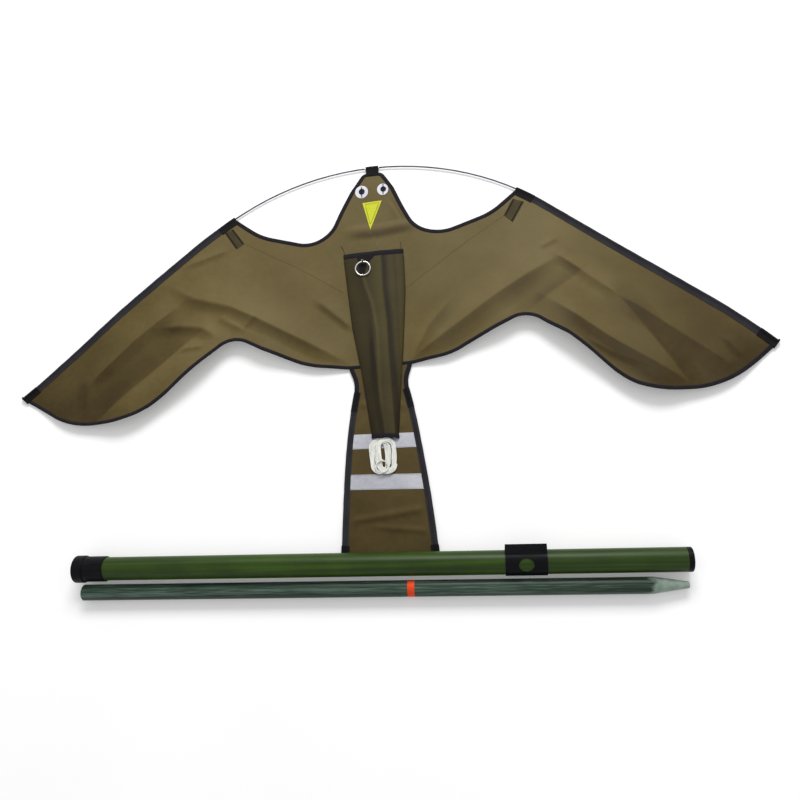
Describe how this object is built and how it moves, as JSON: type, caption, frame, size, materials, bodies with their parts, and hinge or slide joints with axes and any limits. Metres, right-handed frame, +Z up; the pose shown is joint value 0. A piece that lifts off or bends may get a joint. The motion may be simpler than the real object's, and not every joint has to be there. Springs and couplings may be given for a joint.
{
  "type": "bird scarer kite with telescopic pole and stake",
  "caption": "Bird-shaped scarer kite with a bowed spar, belly tunnel and reflective tail, laid out with its collapsed telescopic pole, ground stake and line hank.",
  "frame": {"origin": "middle of the laid-out kit, on the floor", "axes": "+X along the pole towards its mouth, +Y from the pole towards the kite's head, +Z up"},
  "size_m": [1.5876, 0.9908, 0.0516],
  "materials": {
    "sail_cloth": "ripstop nylon, soft sheen",
    "binding": "woven tape",
    "sleeve_cloth": "coated cloth, slight sheen",
    "cap_plastic": "moulded, matt",
    "spar": "pultruded fibreglass",
    "webbing": "woven webbing",
    "patch_cloth": "stitched cloth",
    "eye_cloth": "stitched cloth",
    "pupil_cloth": "stitched cloth",
    "beak_cloth": "stitched cloth",
    "tunnel_cloth": "pleated nylon",
    "hem": "woven tape",
    "eyelet_metal": "rolled eyelet",
    "ring_metal": "nickel plated wire",
    "reflective": "reflective tape",
    "line": "braided line",
    "pole_tube": "painted fibreglass",
    "pole_plastic": "moulded, matt",
    "strap_sheet": "matt sheet",
    "stake_rod": "raw fibreglass rod",
    "mark_tape": "tape"
  },
  "bodies": {
    "kite": {"sail": "sail_cloth", "head_binding": "binding", "trailing_binding_left": "binding", "trailing_binding_right": "binding", "leading_sleeve_left": "sleeve_cloth", "leading_sleeve_right": "sleeve_cloth", "tip_cap_left": "cap_plastic", "tip_cap_right": "cap_plastic", "bow_spar_left": "spar", "bow_spar_right": "spar", "bow_ferrule": "cap_plastic", "head_loop": "webbing", "shoulder_patch_left": "patch_cloth", "shoulder_patch_right": "patch_cloth", "eye_left": "eye_cloth", "eye_right": "eye_cloth", "pupil_left": "pupil_cloth", "pupil_right": "pupil_cloth", "beak": "beak_cloth", "belly_tunnel": "tunnel_cloth", "tunnel_front_hem": "hem", "tunnel_rear_hem": "hem", "keel_tab": "webbing", "keel_eyelet": "eyelet_metal"},
    "ring": {"split_ring": "ring_metal"},
    "tail": {"tail_panel": "sail_cloth", "tail_tape_left": "binding", "tail_tape_right": "binding", "tail_sleeve_left": "sleeve_cloth", "tail_sleeve_right": "sleeve_cloth", "tail_spar_left": "spar", "tail_spar_right": "spar", "tail_cap_left": "cap_plastic", "tail_cap_right": "cap_plastic", "reflective_strip_upper": "reflective", "reflective_strip_lower": "reflective", "line_hank": "line", "line_end_loop": "line", "line_knot": "line"},
    "pole": {"pole_base": "pole_tube", "pole_collar": "pole_plastic", "stake_socket": "pole_plastic"},
    "strap": {"pole_strap": "strap_sheet"},
    "cap": {"butt_cap": "pole_plastic"},
    "section_1": {"pole_section_1": "pole_tube"},
    "section_2": {"pole_section_2": "pole_tube"},
    "section_3": {"pole_section_3": "pole_tube"},
    "section_4": {"pole_section_4": "pole_tube"},
    "section_5": {"pole_section_5": "pole_tube", "tip_eye": "pole_plastic"},
    "stake": {"stake_rod": "stake_rod", "stake_mark": "mark_tape"}
  },
  "joints": [
    {"name": "ring_swing", "type": "hinge", "parent": "kite", "child": "ring", "pos_m": [-0.04144, 0.22383, 0.02325], "axis": [-0.9986, -0.0523, 0], "range_deg": [0, 150]},
    {"name": "tail_fold", "type": "hinge", "parent": "kite", "child": "tail", "pos_m": [-0.00039, -0.02436, 0.00385], "axis": [0.9986, 0.0523, 0], "range_deg": [0, 80]},
    {"name": "pole_lift", "type": "slide", "parent": "kite", "child": "pole", "axis": [0, 0, 1], "range_m": [0, 0.4]},
    {"name": "stake_lift", "type": "slide", "parent": "kite", "child": "stake", "axis": [0, 0, 1], "range_m": [0, 0.4]},
    {"name": "cap_pull", "type": "slide", "parent": "pole", "child": "cap", "axis": [-1, 0, 0], "range_m": [0, 0.07]},
    {"name": "strap_slide", "type": "slide", "parent": "pole", "child": "strap", "axis": [1, 0, 0], "range_m": [-0.72, 0.23]},
    {"name": "section_1_slide", "type": "slide", "parent": "pole", "child": "section_1", "axis": [1, 0, 0], "range_m": [0, 0.948]},
    {"name": "section_2_slide", "type": "slide", "parent": "section_1", "child": "section_2", "axis": [1, 0, 0], "range_m": [0, 0.948]},
    {"name": "section_3_slide", "type": "slide", "parent": "section_2", "child": "section_3", "axis": [1, 0, 0], "range_m": [0, 0.948]},
    {"name": "section_4_slide", "type": "slide", "parent": "section_3", "child": "section_4", "axis": [1, 0, 0], "range_m": [0, 0.948]},
    {"name": "section_5_slide", "type": "slide", "parent": "section_4", "child": "section_5", "axis": [1, 0, 0], "range_m": [0, 0.948]}
  ]
}
